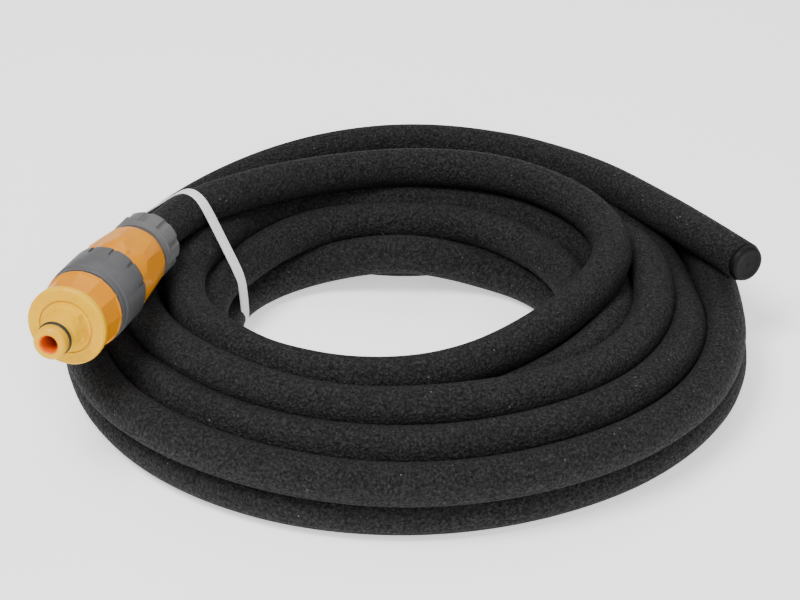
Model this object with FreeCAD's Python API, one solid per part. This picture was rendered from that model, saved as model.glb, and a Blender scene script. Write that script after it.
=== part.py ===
"""Porous rubber soaker hose, coiled and tied, with a click connector, an inlet adaptor and an end plug.

Units are millimetres and +Z is up. The origin is on the floor, under the middle of the whole model.
Points of the coil are given from the coil's own centre, and COIL_AT moves them into the frame.
Pieces of the fitting are drawn along their own +Z axis, with 0 at the rear face of the hose nut and
the spigot's tip at the far end, and FITTING places them.
"""
import FreeCAD, Part
import math
import os

from FreeCAD import Placement, Rotation, Vector

# ---- driving dimensions ----
HOSE_R = 8.75                 # outside radius of the hose
BORE_R = 6.25                 # inside radius of the hose
COIL_AT = Vector(-3.0, 0, 0)  # the coil's centre in the frame

COIL_R = 150.0                # outside radius of the bundle, at its second layer
BASE_R = 147.0                # outside radius of the bottom layer
CREST_R = 90.0                # radius of the highest turn
CREST_Z = 49.0                # top of the highest turn
SHOULDER_Z = 33.5             # top of the outermost turn
HOLE_AT = Vector(-2.0, -10.0, 0)
HOLE_X, HOLE_Y = 64.0, 44.0   # half width and half depth of the open middle

INLET_ROUTE = [(-103.0, 0.1, 55.4), (-91.5, 23.0, 52.8), (-76.5, 41.0, 50.0), (-56.0, 58.0, 47.0),
               (-31.0, 73.5, 43.5), (-3.0, 86.4, 39.5)]
TAIL_ROUTE = [(62.0, 121.0, 27.0), (93.0, 91.0, 31.5), (116.0, 52.0, 37.0), (133.0, 21.0, 41.0),
              (148.0, -5.0, 42.8)]

STRAP_W, STRAP_T = 4.8, 0.8   # the tie's width and thickness
STRAP_FOOT = Vector(-70.0, 5.0, 0)  # where the tie goes down inside the coil
STRAP_ANGLE = 141.0           # direction of the tie's upright plane, outward from its foot
STRAP_HOSE = (27.2, 52.8)     # the inlet hose in that plane: distance out and height

NUT_REAR = Vector(-106.5, -12.3, 57.0)   # centre of the nut's rear face, from the coil's centre
AXIS_HEADING = 16.0           # the fitting points forward, this far round to the left
AXIS_RISE = 7.0               # and this far up

HOSE_END = 13.0               # all further lengths run along the fitting from the nut's rear face
NUT_R, NUT_LEN, NUT_FLUTES = 14.2, 14.6, 10
THREAD_R, THREAD_CLEAR, THREAD_PITCH = 12.2, 0.09, 2.4
BODY_REAR, BODY_SHOULDER, BODY_FRONT = 8.4, 17.0, 61.8
BODY_REAR_R, BODY_R, BODY_FLAT = 14.6, 16.0, 15.2
SLEEVE_REAR, SLEEVE_FRONT = 46.0, 69.4
SLEEVE_R, SLEEVE_NOTCHES = 17.2, 12
STOP_RING = 60.45             # where the ring that stops the sleeve sits
SEAL_BORE_R, SOCKET_R = 7.0, 8.3
BARREL_REAR, BARREL_FRONT = 70.2, 84.0
BARREL_R, BARREL_FACETS = 16.6, 12
FLANGE_R, FLANGE_FRONT = 16.4, 87.4
SPIGOT_R, WATERWAY_R, TIP = 6.7, 3.4, 104.0
REAR_TIP = 38.0               # tip of the adaptor's rear spigot, inside the connector

PLUG_R, PLUG_HEAD, PLUG_STEM = 8.1, 3.2, 17.0

AXIS = Vector(-math.sin(math.radians(AXIS_HEADING)) * math.cos(math.radians(AXIS_RISE)),
              -math.cos(math.radians(AXIS_HEADING)) * math.cos(math.radians(AXIS_RISE)),
              math.sin(math.radians(AXIS_RISE)))
UP = Vector(0, 0, 1)
FITTING = Placement(NUT_REAR + COIL_AT, Rotation(UP, AXIS))


# ---- helpers ----
def revolved(profile):
    """Solid of revolution about Z from a closed outline of (radius, height) points."""
    points = [Vector(r, 0, z) for r, z in profile]
    face = Part.Face(Part.makePolygon(points + points[:1]))
    return face.revolve(Vector(0, 0, 0), UP, 360)


def tube(outer, inner, low, high):
    """Plain ring between two heights."""
    return revolved([(inner, low), (outer, low), (outer, high), (inner, high)])


def torus(radius, section, height):
    """An O-ring about Z."""
    return Part.makeTorus(radius, section, Vector(0, 0, height), UP)


def around(shape, count, start=0.0):
    """Copies of a shape, evenly spaced about Z."""
    copies = []
    for i in range(count):
        copy = shape.copy()
        copy.rotate(Vector(0, 0, 0), UP, start + 360.0 * i / count)
        copies.append(copy)
    return copies


def prism(sides, apothem_low, apothem_high, low, high):
    """Regular prism or frustum about Z, sized across its flats."""
    wires = []
    for apothem, height in ((apothem_low, low), (apothem_high, high)):
        corner = apothem / math.cos(math.pi / sides)
        points = [Vector(corner * math.cos(2 * math.pi * (i + 0.5) / sides),
                         corner * math.sin(2 * math.pi * (i + 0.5) / sides), height)
                  for i in range(sides)]
        wires.append(Part.makePolygon(points + points[:1]))
    return Part.makeLoft(wires, True, True)


def rounded_path(points):
    """Straight runs joined by tangent arcs, each as large as its two runs allow. Returns wire and radii."""
    edges, radii, start = [], [], points[0]
    for before, corner, after in zip(points, points[1:], points[2:]):
        into, out = corner - before, after - corner
        half_turn = into.getAngle(out) / 2
        setback = 0.45 * min(into.Length, out.Length)
        radii.append(setback / math.tan(half_turn))
        into.normalize()
        out.normalize()
        arc_start, arc_end = corner - into * setback, corner + out * setback
        bisector = (out - into).normalize()
        centre = corner + bisector * (radii[-1] / math.cos(half_turn))
        edges.append(Part.makeLine(start, arc_start))
        edges.append(Part.Arc(arc_start, centre - bisector * radii[-1], arc_end).toShape())
        start = arc_end
    edges.append(Part.makeLine(start, points[-1]))
    return Part.Wire(edges), radii


def swept(wire, start, direction, radius):
    """Round solid along a wire."""
    section = Part.Wire(Part.makeCircle(radius, start, direction))
    return wire.makePipeShell([section], True, False)


# ---- the hose ----
def inlet_points():
    """The hose's first stretch, from inside the connector to where it joins the coil."""
    first = NUT_REAR + AXIS * HOSE_END
    return [first + COIL_AT] + [Vector(*p) + COIL_AT for p in INLET_ROUTE]


def tail_points():
    return [Vector(*p) + COIL_AT for p in TAIL_ROUTE]


def hose_run(name, points):
    """One uncoiled stretch of hose, solid as a stand-in for its soft wall. Prints its arcs."""
    wire, radii = rounded_path(points)
    solid = swept(wire, points[0], points[1] - points[0], HOSE_R)
    expected = math.pi * HOSE_R ** 2 * wire.Length
    print("%s: length %.1f, radii %s, volume / (section x length) %.4f"
          % (name, wire.Length, " ".join("%.0f" % r for r in radii), solid.Volume / expected))
    return solid


def socket_bore(points, depth):
    """The open bore at the end of a run, where a stem goes in."""
    inward = (points[1] - points[0]).normalize()
    return Part.makeCylinder(BORE_R, depth, points[0] - inward, inward)


def coil_solid():
    """The outer shape of the tied bundle: flat underneath, highest along its inner turns."""
    z_base, z_belly = 9.0, 24.0
    outline = [
        Part.makeLine(Vector(30, 0, 0), Vector(BASE_R - 8, 0, 0)),
        Part.Arc(Vector(BASE_R - 8, 0, 0), Vector(BASE_R - 2, 0, 3), Vector(BASE_R, 0, z_base)).toShape(),
        Part.makeLine(Vector(BASE_R, 0, z_base), Vector(COIL_R, 0, z_belly)),
        Part.Arc(Vector(COIL_R, 0, z_belly), Vector(COIL_R - 2.5, 0, z_belly + 7),
                 Vector(COIL_R - 8.5, 0, SHOULDER_Z)).toShape(),
        Part.makeLine(Vector(COIL_R - 8.5, 0, SHOULDER_Z), Vector(CREST_R + 3, 0, CREST_Z)),
        Part.Arc(Vector(CREST_R + 3, 0, CREST_Z), Vector(CREST_R - 5, 0, CREST_Z - 1),
                 Vector(CREST_R - 10, 0, CREST_Z - 7)).toShape(),
        Part.makeLine(Vector(CREST_R - 10, 0, CREST_Z - 7), Vector(62, 0, 32)),
        Part.makeLine(Vector(62, 0, 32), Vector(30, 0, 28)),
        Part.makeLine(Vector(30, 0, 28), Vector(30, 0, 0)),
    ]
    ring = Part.Face(Part.Wire(outline)).revolve(Vector(0, 0, 0), UP, 360)
    hole = Part.Wire(Part.Ellipse(HOLE_AT, HOLE_X, HOLE_Y).toShape())
    ring = ring.cut(Part.Face(hole).extrude(Vector(0, 0, 80)))
    ring.translate(COIL_AT)
    return ring


def fitting_room():
    """The hollow that the fitting presses into the top of the bundle, with room for its moving pieces."""
    room = Part.makeCylinder(NUT_R + 0.8, 24.0, Vector(0, 0, -7.0), UP)
    room = room.fuse(Part.makeCylinder(SLEEVE_R + 0.8, 60.0, Vector(0, 0, BODY_SHOULDER), UP))
    room.Placement = FITTING
    return room


# ---- the tie ----
def strap_loop(offset):
    """The tie's closed line in its own plane (x outward, z up), moved outward by offset."""
    hose = Vector(STRAP_HOSE[0], 0, STRAP_HOSE[1])
    reach = HOSE_R + offset
    over = [hose + Vector(reach * math.cos(math.radians(a)), 0, reach * math.sin(math.radians(a)))
            for a in (50, 96, 143)]
    corners = [Vector(0.2 - offset, 0, 31.0), Vector(-1.3 - offset, 0, 26.0),
               Vector(-1.3 - offset, 0, -offset), Vector(78.2 + offset, 0, -offset),
               Vector(78.2 + offset, 0, 11.0), Vector(70.5 + offset, 0, 27.0)]
    edges = [Part.Arc(*over).toShape()]
    chain = [over[2]] + corners + [over[0]]
    for a, b in zip(chain, chain[1:]):
        edges.append(Part.makeLine(a, b))
    return Part.Wire(edges)


def strap_band(inner, outer, width):
    band = Part.Face(strap_loop(outer)).cut(Part.Face(strap_loop(inner)))
    band = band.extrude(Vector(0, width, 0))
    band.translate(Vector(0, -width / 2, STRAP_T))
    band.rotate(Vector(0, 0, 0), UP, STRAP_ANGLE)
    band.translate(STRAP_FOOT + COIL_AT)
    return band


def tie_strap():
    """Flat woven tie, closed by a second layer lapped over the first on the outside of the bundle."""
    band = strap_band(0.0, STRAP_T, STRAP_W)
    lap = strap_band(STRAP_T, 2 * STRAP_T, STRAP_W)
    window = Part.makeBox(40, 20, 18, Vector(60, -10, 8))
    window.rotate(Vector(0, 0, 0), UP, STRAP_ANGLE)
    window.translate(STRAP_FOOT + COIL_AT)
    return band.fuse(lap.common(window)).removeSplitter()


# ---- the connector that grips the hose ----
def hose_stem():
    """Barbed stem inside the hose: three saw teeth that touch the bore."""
    root, tooth = BORE_R - 0.5, 3.0
    profile = [(4.2, HOSE_END + 0.5), (4.2, 1.5), (root - 0.5, 1.5)]
    for i in range(3):
        low = 2.5 + i * tooth
        profile += [(root, low), (BORE_R, low + tooth - 0.4), (root, low + tooth - 0.3)]
    profile += [(BORE_R, HOSE_END - 1), (BORE_R, HOSE_END + 0.5)]
    return revolved(profile)


def connector_body():
    """Outer body, thread for the nut, stem in the hose and socket for the adaptor, in one moulding."""
    shell = revolved([
        (HOSE_R + 0.1, BODY_REAR), (THREAD_R - 0.7, BODY_REAR), (THREAD_R - 0.7, BODY_SHOULDER - 0.4),
        (13.2, BODY_SHOULDER - 0.4), (13.2, BODY_SHOULDER + 0.6), (BODY_REAR_R - 0.8, BODY_SHOULDER + 0.6),
        (BODY_REAR_R, BODY_SHOULDER + 1.6), (BODY_R + 0.4, 36.0), (BODY_R, 40.0), (BODY_R, 50.0),
        (14.0, 50.0), (14.0, STOP_RING - 0.4), (13.7, STOP_RING - 0.4), (13.7, STOP_RING + 0.4),
        (14.0, STOP_RING + 0.4), (14.0, BODY_FRONT - 0.6), (13.4, BODY_FRONT), (11.3, BODY_FRONT),
        (11.3, 55.0), (SOCKET_R, 55.0), (SOCKET_R, 50.0), (SEAL_BORE_R, 49.0), (SEAL_BORE_R, 34.0),
        (4.2, 31.0), (4.2, HOSE_END), (HOSE_R + 0.1, HOSE_END)])
    flats = prism(8, BODY_FLAT - 0.9, BODY_FLAT + 0.75, BODY_SHOULDER + 0.6, 40.0)
    collar = tube(40, 0.1, BODY_SHOULDER + 0.6, 40.0)
    shell = shell.cut(collar.cut(flats))
    crests = [revolved([(THREAD_R - 1.0, z), (THREAD_R - 0.7, z), (THREAD_R, z + 0.6), (THREAD_R, z + 0.9),
                        (THREAD_R - 0.7, z + 1.5), (THREAD_R - 1.0, z + 1.5)])
              for z in [BODY_REAR + 0.5 + THREAD_PITCH * i for i in range(3)]]
    return shell.fuse([hose_stem()] + crests).removeSplitter()


def hose_nut():
    """Fluted nut that squeezes the collet onto the hose."""
    inner = THREAD_R + THREAD_CLEAR
    nut = revolved([
        (HOSE_R + 0.6, 0.0), (NUT_R - 1.2, 0.0), (NUT_R, 1.2), (NUT_R, NUT_LEN - 3.0),
        (NUT_R - 0.5, NUT_LEN - 2.6), (NUT_R - 0.5, NUT_LEN), (inner, NUT_LEN), (inner, 8.0),
        (11.4, 7.2), (9.9, 1.6), (HOSE_R + 0.6, 1.6)])
    flute = Part.makeCylinder(1.9, NUT_LEN, Vector(NUT_R + 0.9, 0, -0.1), UP)
    flute = flute.cut(Part.makeBox(20, 20, 10, Vector(5, -10, NUT_LEN - 4.0)))
    return nut.cut(Part.makeCompound(around(flute, NUT_FLUTES)))


def hose_grip_collet():
    """Split cone between the nut and the hose, with teeth inside."""
    cone = revolved([(HOSE_R + 0.1, 1.9), (9.7, 1.9), (11.0, 7.0), (11.0, 8.0), (HOSE_R + 0.1, 8.0)])
    slot = Part.makeBox(6, 1.0, 4.6, Vector(7.5, -0.5, 1.5))
    return cone.cut(Part.makeCompound(around(slot, 6)))


def claw_ring():
    """Sprung fingers that hold the adaptor's rear spigot by its groove."""
    ring = tube(11.1, 9.6, 56.0, 58.0)
    arm = tube(10.9, 9.6, 58.0, 64.6)
    hook = revolved([(7.5, 61.2), (8.2, 60.4), (9.7, 60.4), (9.7, 64.6), (8.6, 64.6)])
    wedge = Part.makeBox(12, 3.2, 10, Vector(0, -1.6, 57.5))
    fingers = [arm.fuse(hook).common(w) for w in around(wedge, 4, 45.0)]
    return ring.fuse(fingers)


def release_sleeve():
    """Collar that is pulled back towards the hose to let the adaptor go."""
    sleeve = revolved([
        (BODY_R + 0.1, SLEEVE_REAR), (SLEEVE_R - 0.3, SLEEVE_REAR), (SLEEVE_R, SLEEVE_REAR + 1.0),
        (SLEEVE_R, SLEEVE_FRONT - 4.2), (SLEEVE_R - 0.7, SLEEVE_FRONT - 3.4), (SLEEVE_R - 0.7, SLEEVE_FRONT - 1.8),
        (SLEEVE_R - 0.2, SLEEVE_FRONT - 1.4), (SLEEVE_R - 0.5, SLEEVE_FRONT), (12.2, SLEEVE_FRONT),
        (12.2, SLEEVE_FRONT - 3.2), (15.0, SLEEVE_FRONT - 3.2), (15.0, STOP_RING - 0.45),
        (14.1, STOP_RING - 0.45), (14.1, 58.6), (BODY_R + 0.1, 58.6)])
    notch = Part.makeBox(4, 1.5, 6.4, Vector(SLEEVE_R - 0.7, -0.75, SLEEVE_REAR - 0.2))
    return sleeve.cut(Part.makeCompound(around(notch, SLEEVE_NOTCHES)))


def sleeve_spring():
    """Coil spring between the body and the sleeve, from short straight lengths of six-sided wire."""
    wire_r, coil_r, low, high, turns, steps, sides = 0.45, 15.05, 50.5, 58.1, 4, 16, 6
    sections = []
    for k in range(turns * steps + 1):
        turn = 2 * math.pi * k / steps
        outward = Vector(math.cos(turn), math.sin(turn), 0)
        middle = outward * coil_r + UP * (low + (high - low) * k / (turns * steps))
        corners = [middle + outward * (wire_r * math.cos(2 * math.pi * i / sides))
                   + UP * (wire_r * math.sin(2 * math.pi * i / sides)) for i in range(sides)]
        sections.append(Part.makePolygon(corners + corners[:1]))
    return Part.makeLoft(sections, True, True)


def sleeve_stop_ring():
    """Wire ring in the body's front that stops the sleeve from coming off."""
    return torus(14.2, 0.4, STOP_RING)


# ---- the adaptor that plugs into it ----
def adaptor_barrel():
    """Faceted grip with the rear spigot, in one moulding."""
    grip = prism(BARREL_FACETS, BARREL_R - 0.5, BARREL_R - 2.4, BARREL_REAR, BARREL_FRONT)
    rim = revolved([(5, BARREL_REAR), (BARREL_R - 0.3, BARREL_REAR), (BARREL_R, BARREL_REAR + 0.4),
                    (BARREL_R, BARREL_REAR + 1.2), (5, BARREL_REAR + 1.6)])
    spigot = revolved([
        (WATERWAY_R, REAR_TIP), (6.0, REAR_TIP), (6.9, REAR_TIP + 1.2), (6.9, 42.6), (5.55, 42.6), (5.55, 45.0),
        (6.9, 45.0), (6.9, 49.4), (SOCKET_R - 0.2, 52.0), (SOCKET_R - 0.2, 60.0), (7.2, 60.6), (7.2, 64.4),
        (9.2, 65.4), (11.0, BARREL_REAR), (11.0, BARREL_REAR + 0.5), (WATERWAY_R, BARREL_REAR + 0.5)])
    pocket = Part.makeCylinder(10.6, 20, Vector(0, 0, BARREL_REAR + 2.6), UP)
    bore = Part.makeCylinder(WATERWAY_R, 60, Vector(0, 0, REAR_TIP - 1), UP)
    return grip.fuse([rim, spigot]).cut(pocket).cut(bore).removeSplitter()


def adaptor_nose():
    """Front spigot, its stepped foot, the flange and the neck that goes into the barrel."""
    nose = revolved([
        (WATERWAY_R, TIP - 0.6), (WATERWAY_R, 81.0), (6.0, 81.0), (6.0, 76.4), (10.5, 76.4),
        (10.5, BARREL_FRONT + 0.1), (FLANGE_R - 0.8, BARREL_FRONT + 0.1), (FLANGE_R, BARREL_FRONT + 0.8),
        (FLANGE_R, FLANGE_FRONT - 0.7), (FLANGE_R - 0.7, FLANGE_FRONT), (11.3, FLANGE_FRONT),
        (11.3, FLANGE_FRONT - 0.6), (10.5, FLANGE_FRONT - 0.6), (10.5, FLANGE_FRONT),
        (9.4, FLANGE_FRONT + 0.2), (8.9, FLANGE_FRONT + 1.4), (7.4, 94.6), (SPIGOT_R, 95.6),
        (SPIGOT_R, 97.2), (5.3, 97.2), (5.3, 99.5), (SPIGOT_R, 99.5), (SPIGOT_R, TIP - 0.9),
        (SPIGOT_R - 0.9, TIP), (WATERWAY_R + 0.6, TIP)])
    step = prism(6, 9.0, 8.2, FLANGE_FRONT - 0.2, 91.0)
    dot = Part.makeCylinder(0.55, 0.5, Vector(13.8, 0, FLANGE_FRONT - 0.2), UP)
    dots = around(dot, 3, 20.0) + around(dot, 3, 60.0)
    bore = Part.makeCylinder(WATERWAY_R, 20, Vector(0, 0, 85), UP)
    return nose.fuse([step.cut(bore)] + dots).removeSplitter()


def flow_restrictor():
    """Disc with one small hole that cuts the supply down to a soaker hose's trickle."""
    disc = tube(5.95, 1.1, 77.2, 80.9)
    return disc.cut(Part.makeCone(1.1, 3.6, 2.0, Vector(0, 0, 78.9), UP))


def filter_screen():
    """Round perforated screen in front of the restrictor."""
    disc = Part.makeCylinder(5.9, 0.5, Vector(0, 0, 76.5), UP)
    holes = [Part.makeCylinder(0.6, 2, Vector(0, 0, 76.0), UP)]
    for radius, count in ((2.0, 6), (4.1, 12)):
        holes += around(Part.makeCylinder(0.6, 2, Vector(radius, 0, 76.0), UP), count)
    return disc.cut(Part.makeCompound(holes))


# ---- the plug in the far end ----
def end_plug():
    """Stopper along its own +Z: a rounded head outside and a barbed stem in the hose."""
    stem_r = BORE_R - 0.05
    crown = [(0.0, PLUG_HEAD - 0.35), (4.5, PLUG_HEAD - 0.25), (PLUG_R - 1.6, PLUG_HEAD),
             (PLUG_R - 0.5, PLUG_HEAD - 0.5), (PLUG_R, PLUG_HEAD - 1.5), (PLUG_R, 0.05), (stem_r, 0.05)]
    barbs = []
    for high in (-3.0, -7.2, -11.4):
        barbs += [(stem_r, high), (stem_r - 0.75, high - 0.3), (stem_r - 0.75, high - 1.2)]
    return revolved(crown + barbs + [(stem_r - 1.55, -PLUG_STEM), (0.0, -PLUG_STEM)])


# ---- build and write ----
def build():
    inlet_line, tail_line = inlet_points(), tail_points()
    inlet = hose_run("hose_inlet_run", inlet_line)
    tail = hose_run("hose_tail_run", tail_line)
    strap = tie_strap().cut(inlet)
    coil = coil_solid().cut([inlet, tail, strap, fitting_room()])
    parts = {
        "hose_coil": coil,
        "hose_inlet_run": inlet.cut(socket_bore(inlet_line, HOSE_END)),
        "hose_tail_run": tail.cut(socket_bore(tail_line[::-1], PLUG_STEM + 2.0)),
        "tie_strap": strap,
    }
    fitting = {
        "connector_body": connector_body(),
        "hose_nut": hose_nut(),
        "hose_grip_collet": hose_grip_collet(),
        "claw_ring": claw_ring(),
        "release_sleeve": release_sleeve(),
        "sleeve_spring": sleeve_spring(),
        "sleeve_stop_ring": sleeve_stop_ring(),
        "adaptor_barrel": adaptor_barrel(),
        "adaptor_nose": adaptor_nose(),
        "rear_oring": torus(6.28, 0.68, 43.8),
        "front_oring": torus(6.25, 0.93, 98.35),
        "barrel_seal": tube(10.4, 5.2, 73.0, 75.2),
        "control_washer": tube(10.3, 3.0, 75.3, 76.3),
        "flow_restrictor": flow_restrictor(),
        "filter_screen": filter_screen(),
    }
    for name, shape in fitting.items():
        shape.Placement = FITTING.multiply(shape.Placement)
        parts[name] = shape
    plug = end_plug()
    plug.Placement = Placement(tail_line[-1], Rotation(UP, tail_line[-1] - tail_line[-2]))
    parts["end_plug"] = plug
    return parts


os.makedirs("parts", exist_ok=True)
box = FreeCAD.BoundBox()
for name, shape in build().items():
    shape.exportStep("parts/%s.step" % name)
    box.add(shape.optimalBoundingBox(True, False))
    print("%-18s valid %s, solids %d, volume %.0f"
          % (name, shape.isValid(), len(shape.Solids), shape.Volume))
print("box", box)
print("fitting axis", AXIS, "nut rear", NUT_REAR + COIL_AT)
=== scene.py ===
"""The looks of a coiled soaker hose with its tap fitting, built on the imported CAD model.

Metres, in the CAD model's frame: +Z up, the coil lying on Z = 0, the tap fitting at the front left.
"""

import math

import bmesh  # noqa: E402
import bpy  # noqa: E402
import numpy as np  # noqa: E402
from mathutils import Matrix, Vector  # noqa: E402


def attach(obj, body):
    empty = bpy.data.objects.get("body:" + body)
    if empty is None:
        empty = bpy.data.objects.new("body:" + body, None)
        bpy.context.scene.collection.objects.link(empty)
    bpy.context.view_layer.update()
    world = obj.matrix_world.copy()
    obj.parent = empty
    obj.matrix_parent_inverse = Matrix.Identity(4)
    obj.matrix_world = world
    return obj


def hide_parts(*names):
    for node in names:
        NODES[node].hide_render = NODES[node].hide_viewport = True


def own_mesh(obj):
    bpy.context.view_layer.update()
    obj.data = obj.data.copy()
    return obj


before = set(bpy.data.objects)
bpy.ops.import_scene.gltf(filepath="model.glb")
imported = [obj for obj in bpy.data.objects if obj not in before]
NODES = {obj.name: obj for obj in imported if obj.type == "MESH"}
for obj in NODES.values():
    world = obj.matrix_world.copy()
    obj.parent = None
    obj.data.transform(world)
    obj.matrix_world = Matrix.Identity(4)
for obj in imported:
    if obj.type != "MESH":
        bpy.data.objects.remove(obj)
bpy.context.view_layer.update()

MM = 0.001      # in metres; the sizes and places up to the materials are in mm
HOSE_R = 8.75
HOSE_WALL = 2.5
COIL_AT = Vector((-3.0, 0.0, 0.0))      # the coil's middle, in the frame
NUT_REAR = Vector((-106.5, -12.3, 57.0))    # where the hose enters the nut, from the coil's middle
AXIS = Vector((-0.2735828, -0.9540966, 0.1218693))      # the tap fitting's axis, towards the tap
HOSE_IN_FITTING = 13.0      # the hose's end, this far along the axis

# ---------------------------------------------------------------- the hose's route, in mm
# Uncoiled runs: the same points as the CAD model's.
INLET_ROUTE = [(-103.0, 0.1, 55.4), (-91.5, 23.0, 52.8), (-76.5, 41.0, 50.0), (-56.0, 58.0, 47.0),
               (-31.0, 73.5, 43.5), (-3.0, 86.4, 39.5)]
TAIL_ROUTE = [(62.0, 121.0, 27.0), (93.0, 91.0, 31.5), (116.0, 52.0, 37.0), (133.0, 21.0, 41.0),
              (148.0, -5.0, 42.8)]

# Each turn of the coil: how firmly it keeps to its lane, less for turns that are buried, then the
# lane as (degrees clockwise from the back, radius, height of the centreline).
TURNS = [
    (1.0, [(0, 84, 40.5), (45, 91, 42), (90, 92.5, 43), (115, 84, 42.5), (135, 81.5, 41.5),
           (160, 86, 40.5), (180, 91.5, 40), (210, 95.5, 39.5), (243, 96.6, 38.6), (262, 93.2, 38.2),
           (271, 91.6, 38.4), (285, 85, 39.3), (300, 85, 34), (315, 83.5, 30), (330, 82, 27)]),
    (0.7, [(0, 80, 24), (45, 86, 24.5), (85, 94, 26), (100, 96, 29), (115, 97.5, 31.5),
           (135, 98.5, 32), (158, 98, 29), (180, 98, 25),
           (225, 92, 24.5), (250, 87, 25), (270, 82, 25), (289, 74, 25), (314, 67, 26),
           (337, 63, 25.5)]),
    (0.8, [(0, 61.5, 24.5), (45, 67, 24.5), (75, 73, 25), (90, 77, 25), (135, 79, 25),
           (180, 80, 24.5), (225, 80, 21), (250, 81, 10), (270, 80, 8.75), (286, 75, 8.75),
           (299, 70, 8.75), (311, 64.5, 10), (325, 57, 12.5), (345, 45.5, 17.5)]),
    (0.8, [(0, 41, 20), (15, 43, 19), (30, 50, 14.5), (45, 59, 10.5), (58, 66, 8.75),
           (71, 71, 8.75), (90, 75, 8.75), (135, 73, 8.75), (180, 73, 8.75), (225, 84, 8.75),
           (255, 97, 8.75), (270, 97.5, 8.75), (286, 92.5, 8.75), (299, 87, 8.75), (315, 80.5, 8.75),
           (337, 62, 8.75)]),
    (0.6, [(0, 54, 8.75), (22, 62, 8.75), (45, 78, 8.75), (90, 95, 8.75), (135, 96, 8.75),
           (180, 100, 8.75), (225, 106, 12), (250, 106, 17), (270, 105, 17.5), (290, 103, 20),
           (305, 99, 17), (320, 97.5, 10)]),
    (0.6, [(0, 97, 8.75), (45, 99, 17), (69, 107, 28), (90, 109, 34), (115, 113, 36),
           (135, 113, 37), (160, 109, 38), (180, 108.5, 38.2), (203, 110, 38), (225, 112, 38),
           (250, 113, 33), (260, 112.5, 31), (272, 111.5, 30.5), (283, 110.8, 35.5),
           (293, 110, 38), (305, 106, 35), (320, 103, 29.5), (338, 104, 26)]),
    (0.6, [(0, 104, 24.5), (45, 115, 23.5), (75, 119, 23), (90, 119.5, 24.5), (98, 122, 26.5),
           (104, 125, 28.5), (112, 127.8, 30), (131, 128.7, 31.3), (158, 126, 31.5),
           (180, 124.8, 31), (210, 124, 31), (240, 125, 28), (255, 122, 20), (270, 117, 11),
           (290, 113, 8.75), (315, 114.5, 8.75)]),
    (0.8, [(0, 118, 8.75), (30, 120.5, 8.75), (50, 126, 8.75), (70, 134, 8.75), (90, 141, 8.75),
           (110, 144.3, 8.75), (135, 142, 8.75), (155, 139, 8.75), (180, 137.9, 8.75),
           (210, 138.5, 8.75), (240, 138.5, 8.75), (270, 137, 8.75), (290, 133, 8.75),
           (315, 131, 8.75)]),
    (1.0, [(0, 135, 8.75), (30, 139, 9.5), (50, 142, 15), (70, 141.5, 21.5), (90, 139, 25),
           (103, 142, 25.3), (112, 144.3, 25.5), (120, 146, 25.5), (135, 145.5, 25.5),
           (155, 143, 25.5), (180, 141.7, 25.5), (205, 140.5, 25.5), (235, 141.5, 25.5),
           (255, 139, 25), (270, 134, 25), (290, 125, 25), (310, 124.5, 25), (328, 128, 25),
           (345, 133.5, 25)]),
    (1.0, [(0, 138.5, 25)]),
]
CONTACT = 16.9          # strands press together: their centres may come this close
NEAR = 8.0              # strands this much further apart may touch soon
SAME_STRAND = 60.0      # points nearer than this along the hose don't push each other
ALIKE = 0.9             # strands at least this parallel, as a cosine, lie side by side
OPPOSITE = 0.75         # points of parallel strands within this many links face each other
LINK = 6.0              # spacing of the points while the coil settles
LANE_STEP = 2.0         # degrees between the points that start it
SETTLE_STEPS = 300
PAIRS_LAST = 10         # steps before the near strands are looked for again
LANE_PULL = 0.08
BEND_STIFFNESS = 0.3
SAG = 0.02              # each step lets a loose strand sink this far, in mm
POINTS_APART = 3        # every third settled point becomes a control point, 18 mm apart
JOIN_GAP = 8.0          # degrees of lane left out where the coil meets an uncoiled run
LOOSENS_OVER = 40.0     # mm over which the coil comes free of the fixed runs
INLET_FIXED = 0.85      # share of the inlet run that never moves
TAIL_LOOSE = 0.1        # share of the tail run, from the coil, that may move


def route_line(points, name):
    """Points along the smooth line of a route, read from its own NURBS spline."""
    curve = bpy.data.curves.new(name, "CURVE")
    curve.dimensions = "3D"
    curve.resolution_u = 8
    add_spline(curve, points, HOSE_R)
    guide = bpy.data.objects.new(name, curve)
    mesh = bpy.data.meshes.new_from_object(guide)
    line = np.array([v.co[:] for v in mesh.vertices])
    bpy.data.meshes.remove(mesh)
    bpy.data.objects.remove(guide)
    bpy.data.curves.remove(curve)
    return line


def add_spline(curve, points, radius):
    """One open NURBS spline with these control points, of this radius where it is bevelled."""
    spline = curve.splines.new("NURBS")
    spline.points.add(len(points) - 1)
    for point, at in zip(spline.points, points):
        point.co = (*at, 1.0)
        point.radius = radius
    spline.order_u = 3
    spline.use_endpoint_u = True


def along(line):
    """Distance of each point from the line's start."""
    steps = np.linalg.norm(np.diff(line, axis=0), axis=1)
    return np.concatenate([[0.0], np.cumsum(steps)])


def ease(at, values, wanted):
    """Smooth values between the given ones, with no overshoot at the ends."""
    at, values = np.asarray(at, float), np.asarray(values, float)
    slope = np.gradient(values, at)
    i = np.clip(np.searchsorted(at, wanted) - 1, 0, len(at) - 2)
    span = at[i + 1] - at[i]
    t = (wanted - at[i]) / span
    start = (2 * t**3 - 3 * t**2 + 1) * values[i] + (t**3 - 2 * t**2 + t) * span * slope[i]
    end = (3 * t**2 - 2 * t**3) * values[i + 1] + (t**3 - t**2) * span * slope[i + 1]
    return start + end


def clockwise(point):
    """Angle of a point about the coil, clockwise from the back, in degrees."""
    return math.degrees(math.atan2(point[0], point[1]))


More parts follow.
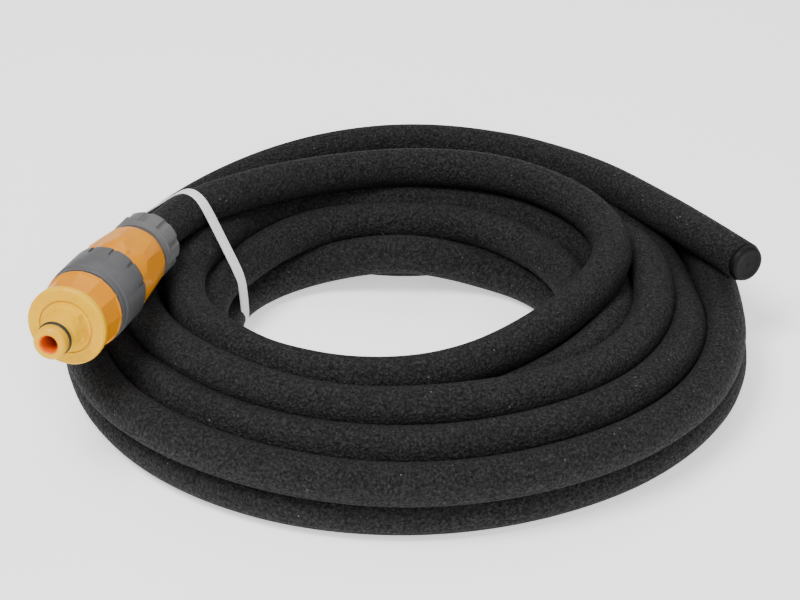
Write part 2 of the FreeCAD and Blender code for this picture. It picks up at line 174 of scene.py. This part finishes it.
def coil_lanes():
    """The coil's line in its lanes, and how firmly each point is held."""
    rows = [(360 * turn + a, r, z, hold)
            for turn, (hold, lane) in enumerate(TURNS) for a, r, z in lane]
    angle, radius, height, hold = np.array(rows, float).T
    first = clockwise(INLET_ROUTE[-1]) + JOIN_GAP
    last = 360 * (len(TURNS) - 1) + clockwise(TAIL_ROUTE[0]) - JOIN_GAP
    steps = np.arange(angle[0], last, LANE_STEP)
    steps = steps[steps > first]
    inside = np.minimum(steps, angle[-1])
    r, z = ease(angle, radius, inside), ease(angle, height, inside)
    turned = np.radians(steps)
    return np.stack([r * np.sin(turned), r * np.cos(turned), z], 1), np.interp(steps, angle, hold)


def near_pairs(line):
    """Pairs of points of different strands that are close enough to touch soon."""
    apart = ((line[:, None] - line[None]) ** 2).sum(-1)
    return np.where(np.triu(apart < (CONTACT + NEAR) ** 2, int(SAME_STRAND / LINK)))


def push_apart(line, pairs, loose):
    """How far each point moves so that strands that overlap only touch."""
    i, j = pairs
    along_line = np.gradient(line, axis=0)
    along_line /= np.linalg.norm(along_line, axis=1)[:, None]
    gap = line[i] - line[j]
    alike = (along_line[i] * along_line[j]).sum(1)
    shared = along_line[i] + along_line[j] * np.sign(alike)[:, None]
    shared /= np.maximum(np.linalg.norm(shared, axis=1), 1e-9)[:, None]
    offset = (gap * shared).sum(1)
    crossing = np.abs(alike) < ALIKE
    across = np.where(crossing[:, None], gap, gap - offset[:, None] * shared)
    distance = np.linalg.norm(across, axis=1)
    hit = (distance < CONTACT) & (crossing | (np.abs(offset) < OPPOSITE * LINK))
    i, j, across, distance = i[hit], j[hit], across[hit], distance[hit]
    both = np.maximum(loose[i] + loose[j], 1e-6)
    outward = across / np.maximum(distance, 1e-6)[:, None] * (CONTACT - distance)[:, None]
    move, count = np.zeros_like(line), np.zeros(len(line))
    np.add.at(move, i, outward * (loose[i] / both)[:, None])
    np.add.at(move, j, -outward * (loose[j] / both)[:, None])
    np.add.at(count, i, 1)
    np.add.at(count, j, 1)
    return move / np.maximum(count, 1)[:, None] * loose[:, None]


def bending(line):
    """How far each point stands from an evenly bent line."""
    kink, change = np.zeros_like(line), np.zeros_like(line)
    kink[1:-1] = (line[:-2] + line[2:]) / 2 - line[1:-1]
    change[2:-2] = (kink[1:-3] + kink[3:-1]) / 2 - kink[2:-2]
    return change


def settle(line, loose, hold):
    """The coil's strands, pushed clear of each other while they bend evenly and sink."""
    lane = line.copy()
    for step in range(SETTLE_STEPS):
        if step % PAIRS_LAST == 0:
            pairs = near_pairs(line)
        line = line + push_apart(line, pairs, loose)
        line -= BEND_STIFFNESS * bending(line) * loose[:, None]
        line += LANE_PULL * (lane - line) * (hold * loose)[:, None]
        line[:, 2] = np.maximum(line[:, 2] - SAG * loose, HOSE_R)
    return line


def hose_points():
    """Control points of the whole hose, in mm from the coil's middle."""
    hose_end = tuple(NUT_REAR + AXIS * HOSE_IN_FITTING)
    inlet_route = [hose_end, *INLET_ROUTE]
    inlet = route_line(inlet_route, "inlet_guide")
    tail = route_line(TAIL_ROUTE, "tail_guide")
    coil, hold = coil_lanes()
    line = np.concatenate([inlet, coil, tail])
    hold = np.concatenate([np.ones(len(inlet)), hold, np.ones(len(tail))])
    at = along(line)
    count = int(round(at[-1] / LINK)) + 1
    spots = np.linspace(0, at[-1], count)
    line = np.stack([np.interp(spots, at, line[:, k]) for k in range(3)], 1)
    hold = np.interp(spots, at, hold)
    inlet_length, tail_start = along(inlet)[-1], at[-1] - along(tail)[-1]
    loose = np.clip((spots - INLET_FIXED * inlet_length) / LOOSENS_OVER, 0, 1)
    fixed_from = tail_start + TAIL_LOOSE * along(tail)[-1]
    loose *= np.clip((fixed_from - spots) / LOOSENS_OVER, 0, 1)
    line = settle(line, loose, hold)
    coiled = (spots > inlet_length + 2 * LINK) & (spots < tail_start - 2 * LINK)
    return inlet_route + [tuple(p) for p in line[coiled][::POINTS_APART]] + TAIL_ROUTE


def make_hose():
    """The whole hose as one bevelled curve with a wall, open at both ends for a stem."""
    curve = bpy.data.curves.new("soaker_hose", "CURVE")
    curve.dimensions = "3D"
    curve.resolution_u = 4
    curve.bevel_depth = 1.0     # times the points' radius, which Blender adds to the curve's box
    curve.bevel_resolution = 8
    points = [tuple((Vector(p) + COIL_AT) * MM) for p in HOSE_POINTS]
    add_spline(curve, points, HOSE_R * MM)
    hose = bpy.data.objects.new("soaker_hose", curve)
    bpy.context.scene.collection.objects.link(hose)
    wall = hose.modifiers.new("wall", "SOLIDIFY")
    wall.thickness = HOSE_WALL * MM
    wall.offset = -1
    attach(hose, "hose")
    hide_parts("hose_coil", "hose_inlet_run", "hose_tail_run")
    return hose


HOSE_POINTS = hose_points()
hose = make_hose()


def round_edges(piece, radius, angle):
    """Rounds the edges that are sharper than the angle, in degrees."""
    bevel = piece.modifiers.new("bevel", "BEVEL")
    bevel.width = radius * MM
    bevel.segments = 2
    bevel.limit_method = "ANGLE"
    bevel.angle_limit = math.radians(angle)
    return bevel


def new_piece(name, mesh):
    """The mesh as an object in the scene, with its faces outward."""
    bmesh.ops.recalc_face_normals(mesh, faces=mesh.faces)
    data = bpy.data.meshes.new(name)
    mesh.to_mesh(data)
    mesh.free()
    piece = bpy.data.objects.new(name, data)
    bpy.context.scene.collection.objects.link(piece)
    return piece


# ---------------------------------------------------------------- the tie strap
STRAP_FOOT = np.array([-70.0, 5.0, 0.0])    # where the strap goes down inside the coil
STRAP_ANGLE = math.radians(141)     # its upright plane runs outward from there, turned from +X
STRAP_WIDTH = 4.8
STRAP_THICKNESS = 0.8
STRAP_SLACK = 0.6       # what the easing of its corners takes back
STRAP_EASING = 8        # times that its corners are eased
STRAP_STEP = 2.0        # mm between its sections
STRAP_EDGE, STRAP_EDGE_ANGLE = 0.22, 50     # mm and degrees
CIRCLE_POINTS = 96      # round each strand that the strap goes over


def strands_in_plane():
    """Where the hose crosses the strap's plane, as (distance out from the strap's foot, height)."""
    outward = np.array([math.cos(STRAP_ANGLE), math.sin(STRAP_ANGLE), 0.0])
    across = np.array([-outward[1], outward[0], 0.0])
    line = route_line(HOSE_POINTS, "strand_guide")
    side = (line - STRAP_FOOT) @ across
    found = []
    for i in np.where(side[:-1] * side[1:] < 0)[0]:
        part = side[i] / (side[i] - side[i + 1])
        spot = line[i] + part * (line[i + 1] - line[i])
        if (spot - STRAP_FOOT) @ outward > 0:
            found.append(((spot - STRAP_FOOT) @ outward, spot[2]))
    return found, Vector(outward), Vector(across)


def taut_band(centres, reach):
    """The shortest loop round circles of this radius, anticlockwise."""
    turns = np.linspace(0, 2 * math.pi, CIRCLE_POINTS, endpoint=False)
    spots = sorted((r + reach * math.cos(t), z + reach * math.sin(t))
                   for r, z in centres for t in turns)

    def half(ordered):
        """The outer side of the spots, taken in this order."""
        chain = []
        for p in ordered:
            while len(chain) > 1 and ((chain[-1][0] - chain[-2][0]) * (p[1] - chain[-2][1])
                                      <= (chain[-1][1] - chain[-2][1]) * (p[0] - chain[-2][0])):
                chain.pop()
            chain.append(p)
        return chain[:-1]

    return half(spots) + half(spots[::-1])


def eased_loop(loop):
    """The same loop with evenly spaced points and its corners eased, as a stiff band lies."""
    line = np.array(loop + loop[:1])
    at = along(line)
    count = int(at[-1] / STRAP_STEP)
    spots = np.linspace(0, at[-1], count, endpoint=False)
    line = np.stack([np.interp(spots, at, line[:, k]) for k in range(2)], 1)
    for _ in range(STRAP_EASING):
        line = line / 2 + (np.roll(line, 1, 0) + np.roll(line, -1, 0)) / 4
    return [tuple(p) for p in line]


def make_strap():
    """A flat woven tie pulled tight round the coil's left side and the inlet run above it."""
    centres, outward, across = strands_in_plane()
    inner = eased_loop(taut_band(centres, HOSE_R + STRAP_SLACK))
    count = len(inner)
    mesh = bmesh.new()
    along_strap = mesh.loops.layers.uv.new("strap")
    sections, travelled = [], [0.0]
    for k, (r, z) in enumerate(inner):
        before, after = Vector(inner[k - 1]), Vector(inner[(k + 1) % count])
        run = (after - before).normalized()
        out = Vector((run.y, -run.x))
        corners = []
        for rise, side in ((0, -1), (1, -1), (1, 1), (0, 1)):
            spot = Vector((r, z)) + out * STRAP_THICKNESS * rise
            spot.y = max(spot.y, STRAP_THICKNESS * (1 - rise) if z < STRAP_THICKNESS else 0.0)
            at = outward * spot.x + across * (side * STRAP_WIDTH / 2) + Vector((0, 0, spot.y))
            corners.append(mesh.verts.new((at + Vector(STRAP_FOOT) + COIL_AT) * MM))
        sections.append(corners)
        travelled.append(travelled[-1] + (after - Vector((r, z))).length)
    for k in range(count):
        here, there = sections[k], sections[(k + 1) % count]
        for c in range(4):
            d = (c + 1) % 4
            face = mesh.faces.new((here[c], there[c], there[d], here[d]))
            face.smooth = True
            lengths = (travelled[k], travelled[k + 1], travelled[k + 1], travelled[k])
            near, far = (STRAP_WIDTH * (corner in (2, 3)) for corner in (c, d))
            for loop, u, v in zip(face.loops, lengths, (near, near, far, far)):
                loop[along_strap].uv = (u, v)
    strap = new_piece("woven_strap", mesh)
    round_edges(strap, STRAP_EDGE, STRAP_EDGE_ANGLE)
    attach(strap, "hose")
    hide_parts("tie_strap")
    return strap


strap = make_strap()


# ---------------------------------------------------------------- the sleeve's return spring
SPRING_FROM, SPRING_TO = 50.5, 58.1     # the wire's middle, along the fitting from the nut's rear
SPRING_R, WIRE_R = 15.05, 0.45
SPRING_TURNS, TURN_STEPS, WIRE_SIDES = 4, 32, 10


def make_spring():
    """The wire coil behind the sleeve, drawn at one length; the real one shortens as the sleeve is
    pulled back.
    """
    rear = NUT_REAR + COIL_AT
    sideways = AXIS.cross(Vector((0, 0, 1))).normalized()
    upward = sideways.cross(AXIS)
    mesh = bmesh.new()
    rings = []
    for k in range(SPRING_TURNS * TURN_STEPS + 1):
        turn = 2 * math.pi * k / TURN_STEPS
        outward = sideways * math.cos(turn) + upward * math.sin(turn)
        length = SPRING_FROM + (SPRING_TO - SPRING_FROM) * k / (SPRING_TURNS * TURN_STEPS)
        middle = rear + outward * SPRING_R + AXIS * length
        ring = []
        for c in range(WIRE_SIDES):
            way = 2 * math.pi * c / WIRE_SIDES
            spot = middle + (outward * math.cos(way) + AXIS * math.sin(way)) * WIRE_R
            ring.append(mesh.verts.new(spot * MM))
        rings.append(ring)
    for here, there in zip(rings, rings[1:]):
        for c in range(WIRE_SIDES):
            d = (c + 1) % WIRE_SIDES
            mesh.faces.new((here[c], there[c], there[d], here[d])).smooth = True
    for ring in (rings[0], rings[-1]):
        mesh.faces.new(ring)
    spring = new_piece("return_spring", mesh)
    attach(spring, "hose")
    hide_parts("sleeve_spring")
    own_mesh(spring)
    return spring


spring = make_spring()


# ---------------------------------------------------------------- materials
class Finish:
    """A node material being put together: its nodes, its shader and its own coordinates."""

    def __init__(self, name, roughness):
        self.material = bpy.data.materials.new(name)
        self.material.use_nodes = True
        self.nodes = self.material.node_tree.nodes
        self.links = self.material.node_tree.links
        self.shader = self.nodes["Principled BSDF"]
        self.shader.inputs["Roughness"].default_value = roughness
        self.place = self.nodes.new("ShaderNodeTexCoord").outputs["Object"]

    def join(self, output, entry):
        self.links.new(output, entry)

    def set(self, entry, value):
        self.shader.inputs[entry].default_value = value

    def noise(self, size, detail=2.0, rough=0.5):
        """Noise with lumps of about this size, in metres, from 0 to 1."""
        node = self.nodes.new("ShaderNodeTexNoise")
        node.inputs["Scale"].default_value = 1 / size
        node.inputs["Detail"].default_value = detail
        node.inputs["Roughness"].default_value = rough
        self.join(self.place, node.inputs["Vector"])
        return node.outputs["Fac"]

    def cells(self, size):
        """Distance from the middle of scattered cells of about this size."""
        node = self.nodes.new("ShaderNodeTexVoronoi")
        node.inputs["Scale"].default_value = 1 / size
        self.join(self.place, node.inputs["Vector"])
        return node.outputs["Distance"]

    def spread(self, value, low, high, to_low=0.0, to_high=1.0):
        """The value's range from low to high stretched onto another range."""
        node = self.nodes.new("ShaderNodeMapRange")
        for entry, number in zip(("From Min", "From Max", "To Min", "To Max"),
                                 (low, high, to_low, to_high)):
            node.inputs[entry].default_value = number
        self.join(value, node.inputs["Value"])
        return node.outputs["Result"]

    def maths(self, operation, a, b):
        """One sum on two values, either of which may be a number."""
        node = self.nodes.new("ShaderNodeMath")
        node.operation = operation
        for entry, value in zip(node.inputs, (a, b)):
            if isinstance(value, (int, float)):
                entry.default_value = value
            else:
                self.join(value, entry)
        return node.outputs[0]

    def mix(self, factor, a, b):
        """Colour a turning into colour b; each is a colour or an output."""
        node = self.nodes.new("ShaderNodeMix")
        node.data_type = "RGBA"
        self.join(factor, node.inputs["Factor"])
        for entry, value in zip((node.inputs[6], node.inputs[7]), (a, b)):
            if isinstance(value, tuple):
                entry.default_value = (*value, 1)
            else:
                self.join(value, entry)
        return node.outputs[2]

    def colour(self, output):
        self.join(output, self.shader.inputs["Base Color"])

    def roughness(self, output):
        self.join(output, self.shader.inputs["Roughness"])

    def bump(self, height, depth):
        """Relief of this depth in metres."""
        node = self.nodes.new("ShaderNodeBump")
        node.inputs["Distance"].default_value = depth
        node.inputs["Strength"].default_value = 1.0
        self.join(height, node.inputs["Height"])
        self.join(node.outputs["Normal"], self.shader.inputs["Normal"])


def porous_rubber():
    """Crumb rubber pressed into a hose: pebbled, open-pored, dull black with a few pale crumbs, and
    painted light and shade that follow the relief.
    """
    finish = Finish("porous_rubber", 0.8)
    patches = finish.spread(finish.noise(0.02, 3.0), 0.3, 0.7)
    grains = finish.spread(finish.cells(0.00115), 0.1, 0.7, 1.0, 0.0)
    crumbs = finish.spread(finish.noise(0.0013, 3.0, 0.75), 0.36, 0.64)
    pores = finish.spread(finish.cells(0.0019), 0.12, 0.34, 1.0, 0.0)
    deep = finish.spread(finish.noise(0.0035, 2.0), 0.42, 0.56)
    pits = finish.maths("MULTIPLY", pores, deep)
    field = finish.mix(patches, (0.0088, 0.0088, 0.009), (0.0122, 0.0122, 0.0125))
    # darker where the relief lies low: painted shade in its hollows
    shade = finish.mix(crumbs, (0.0024, 0.0024, 0.0025), field)
    # lighter on the raised grains: painted light on the tops of the relief
    shade = finish.mix(finish.maths("MULTIPLY", grains, crumbs), shade, (0.033, 0.033, 0.0338))
    # near black in the pores: painted shade in the pits
    shade = finish.mix(finish.maths("MULTIPLY", pits, 0.9), shade, (0.0008, 0.0008, 0.0008))
    rare = finish.spread(finish.noise(0.007, 1.0), 0.61, 0.66)
    fleck = finish.spread(finish.cells(0.0031), 0.06, 0.13, 1.0, 0.0)
    shade = finish.mix(finish.maths("MULTIPLY", fleck, rare), shade, (0.16, 0.16, 0.156))
    finish.colour(shade)
    finish.roughness(finish.spread(crumbs, 0.0, 1.0, 0.95, 0.62))
    raised = finish.maths("ADD", grains, crumbs)
    relief = finish.maths("SUBTRACT", raised, finish.maths("MULTIPLY", pits, 1.5))
    finish.bump(relief, 0.0004)
    finish.set("Specular IOR Level", 0.2)
    return finish.material


def moulded_plastic(name, light, dark, roughness, grain=0.00002, glow=0.0):
    """A Finish of moulded plastic: a slight flow mark, uneven gloss and a faint grain."""
    finish = Finish(name, roughness)
    flow = finish.noise(0.014, 3.0, 0.6)
    finish.colour(finish.mix(finish.spread(flow, 0.3, 0.7), light, dark))
    uneven = finish.noise(0.004, 3.0)
    finish.roughness(finish.spread(uneven, 0.3, 0.7, roughness - 0.06, roughness + 0.08))
    finish.bump(finish.noise(0.0007, 3.0, 0.6), grain)
    finish.set("Specular IOR Level", 0.12)
    if glow:
        finish.set("Subsurface Weight", glow)
        finish.set("Subsurface Radius", (1.0, 0.45, 0.1))
        finish.set("Subsurface Scale", 0.0015)
    return finish


def bored_plastic(name, light, dark, inside, roughness):
    """Moulded plastic with painted shade in the waterway: a deeper red there, where light only comes
    through the wall.
    """
    finish = moulded_plastic(name, light, dark, roughness, glow=0.12)
    flow = finish.shader.inputs["Base Color"].links[0].from_socket
    offset = finish.nodes.new("ShaderNodeVectorMath")
    offset.operation = "SUBTRACT"
    offset.inputs[1].default_value = (NUT_REAR + COIL_AT) * MM
    finish.join(finish.place, offset.inputs[0])
    across = finish.nodes.new("ShaderNodeVectorMath")
    across.operation = "CROSS_PRODUCT"
    across.inputs[1].default_value = AXIS
    finish.join(offset.outputs[0], across.inputs[0])
    radius = finish.nodes.new("ShaderNodeVectorMath")
    radius.operation = "LENGTH"
    finish.join(across.outputs[0], radius.inputs[0])
    in_bore = finish.spread(radius.outputs["Value"], *BORE_EDGE, 1.0, 0.0)
    # the waterway gets painted shade, a deeper red than the outside
    finish.colour(finish.mix(in_bore, flow, inside))
    return finish.material


def soft_rubber(name, shade, roughness):
    """Moulded seal rubber with a fine bloom."""
    finish = Finish(name, roughness)
    bloom = finish.noise(0.0025, 3.0)
    pale = (shade * 2.2,) * 3
    finish.colour(finish.mix(finish.spread(bloom, 0.3, 0.7), (shade,) * 3, pale))
    finish.roughness(finish.spread(bloom, 0.3, 0.7, roughness - 0.08, roughness + 0.1))
    finish.bump(finish.noise(0.0004, 2.0), 0.00002)
    return finish.material


def woven_tie():
    """Narrow woven polyester tie: pale thread in a close diagonal weave, with painted shade in the
    hollows between the threads.
    """
    finish = Finish("woven_tie", 0.62)
    woven = finish.nodes.new("ShaderNodeUVMap")
    woven.uv_map = "strap"
    threads = []
    for turn in (math.radians(38), math.radians(-38)):
        turned = finish.nodes.new("ShaderNodeMapping")
        turned.inputs["Rotation"].default_value[2] = turn
        finish.join(woven.outputs["UV"], turned.inputs["Vector"])
        wave = finish.nodes.new("ShaderNodeTexWave")
        wave.inputs["Scale"].default_value = 0.42
        wave.inputs["Distortion"].default_value = 0.25
        finish.join(turned.outputs["Vector"], wave.inputs["Vector"])
        threads.append(wave.outputs["Fac"])
    weave = finish.maths("MULTIPLY", *threads)
    soil = finish.spread(finish.noise(0.006, 3.0), 0.3, 0.7, 0.0, 0.35)
    pale = finish.mix(soil, (0.94, 0.94, 0.96), (0.86, 0.86, 0.88))
    # greyer between the threads: painted shade in the weave's hollows
    finish.colour(finish.mix(finish.spread(weave, 0.0, 0.5), (0.7, 0.705, 0.72), pale))
    finish.roughness(finish.spread(weave, 0.0, 1.0, 0.75, 0.5))
    finish.bump(weave, 0.0002)
    return finish.material


def spring_steel():
    """Drawn stainless wire: bright, with faint scuffs."""
    finish = Finish("spring_steel", 0.3)
    scuffs = finish.noise(0.0012, 4.0, 0.7)
    bright, dull = (0.62, 0.61, 0.59), (0.42, 0.41, 0.4)
    finish.colour(finish.mix(finish.spread(scuffs, 0.3, 0.7), bright, dull))
    finish.roughness(finish.spread(scuffs, 0.3, 0.7, 0.22, 0.42))
    finish.bump(scuffs, 0.00001)
    finish.set("Metallic", 1.0)
    return finish.material


ORANGE = (0.62, 0.24, 0.0)
DEEP_ORANGE = (0.58, 0.19, 0.0)
YELLOW = (0.74, 0.42, 0.0)
AMBER = (0.7, 0.35, 0.0)
# painted shade: the deep red of the bore, where light only comes through the wall
BORE_PAINTED_SHADE = (0.6, 0.08, 0.0)
BORE_EDGE = (0.0036, 0.0045)    # metres from the axis over which the bore's painted shade ends
MOULD_EDGE, MOULD_EDGE_ANGLE = 0.25, 35     # mm and degrees
SPLIT_CORNER = 1e-6     # metres; corners this close are one


def dress_nodes(steel):
    """Every CAD node that stays visible gets its material and slightly rounded edges."""
    orange = moulded_plastic("orange_plastic", ORANGE, DEEP_ORANGE, 0.34, glow=0.12).material
    yellow = bored_plastic("yellow_plastic", YELLOW, AMBER, BORE_PAINTED_SHADE, 0.3)
    sleeve_grey = moulded_plastic(
        "sleeve_grey", (0.088, 0.088, 0.091), (0.074, 0.074, 0.077), 0.46, 0.00004)
    nut_grey = moulded_plastic(
        "nut_grey", (0.116, 0.116, 0.118), (0.095, 0.095, 0.097), 0.48, 0.00004)
    white = moulded_plastic("white_plastic", (0.8, 0.8, 0.78), (0.72, 0.72, 0.69), 0.4).material
    plug_black = moulded_plastic(
        "plug_black", (0.0045, 0.0045, 0.0047), (0.003, 0.003, 0.0032), 0.5, 0.00006)
    seal = soft_rubber("seal_rubber", 0.0025, 0.6)
    finishes = {
        "connector_body": orange, "adaptor_barrel": orange, "adaptor_nose": yellow,
        "release_sleeve": sleeve_grey.material, "hose_nut": nut_grey.material,
        "hose_grip_collet": white, "claw_ring": white, "flow_restrictor": white,
        "rear_oring": seal, "front_oring": seal, "barrel_seal": seal, "control_washer": seal,
        "sleeve_stop_ring": steel, "filter_screen": steel,
        "end_plug": plug_black.material,
    }
    for name, material in finishes.items():
        node = NODES[name]
        node.data.materials.clear()
        node.data.materials.append(material)
        weld = node.modifiers.new("weld", "WELD")
        weld.merge_threshold = SPLIT_CORNER
        round_edges(node, MOULD_EDGE, MOULD_EDGE_ANGLE).harden_normals = True


hose.data.materials.append(porous_rubber())
strap.data.materials.append(woven_tie())
steel = spring_steel()
spring.data.materials.append(steel)
dress_nodes(steel)


# ---------------------------------------------------------------- camera, lights and floor, in metres
CAMERA_AT = (-0.003, -0.8293, 0.5385)
CAMERA_DOWN = 32        # degrees below the horizon
LENS, SENSOR = 100.5, 36.0
FLOOR_REACH = 4.0
FLOOR_DROP = 0.0002     # keeps the floor's face off the hose's lowest points
FLOOR_WHITE, FLOOR_GLOW = 0.85, 0.8
WORLD_GLOW = 0.42
SOFT_BOXES = [          # name, place, side and power in watts
    ("key", (-0.5, -0.5, 1.3), 0.6, 29),
    ("fill", (0.5, -1.1, 0.7), 0.8, 10),
    ("back", (0.4, 1.0, 1.1), 1.0, 10),
]


def make_camera():
    """Looks along +Y and down at the coil's middle."""
    data = bpy.data.cameras.new("camera")
    data.lens = LENS
    data.sensor_width = SENSOR
    camera = bpy.data.objects.new("camera", data)
    camera.location = CAMERA_AT
    camera.rotation_euler = (math.radians(90 - CAMERA_DOWN), 0, 0)
    bpy.context.scene.collection.objects.link(camera)
    bpy.context.scene.camera = camera


def area_light(name, location, size, power):
    """A square white soft box aimed at the coil."""
    data = bpy.data.lights.new(name, "AREA")
    data.energy = power
    data.size = size
    light = bpy.data.objects.new(name, data)
    light.location = location
    light.rotation_euler = (-Vector(location)).to_track_quat("-Z", "Y").to_euler()
    bpy.context.scene.collection.objects.link(light)


def make_stage():
    """A white floor, a white world and three soft boxes."""
    mesh = bpy.data.meshes.new("floor")
    ways = ((-1, -1), (1, -1), (1, 1), (-1, 1))
    corners = [(x * FLOOR_REACH, y * FLOOR_REACH, 0) for x, y in ways]
    mesh.from_pydata(corners, [], [(0, 1, 2, 3)])
    floor = bpy.data.objects.new("floor", mesh)
    floor.location.z = -FLOOR_DROP
    bpy.context.scene.collection.objects.link(floor)
    material = bpy.data.materials.new("floor_white")
    material.use_nodes = True
    shader = material.node_tree.nodes["Principled BSDF"]
    shader.inputs["Base Color"].default_value = (FLOOR_WHITE, FLOOR_WHITE, FLOOR_WHITE, 1)
    shader.inputs["Roughness"].default_value = 0.9
    shader.inputs["Emission Color"].default_value = (1, 1, 1, 1)
    shader.inputs["Emission Strength"].default_value = FLOOR_GLOW
    mesh.materials.append(material)
    world = bpy.data.worlds.new("studio")
    world.use_nodes = True
    world.node_tree.nodes["Background"].inputs["Color"].default_value = (1, 1, 1, 1)
    world.node_tree.nodes["Background"].inputs["Strength"].default_value = WORLD_GLOW
    bpy.context.scene.world = world
    for soft_box in SOFT_BOXES:
        area_light(*soft_box)


make_camera()
make_stage()
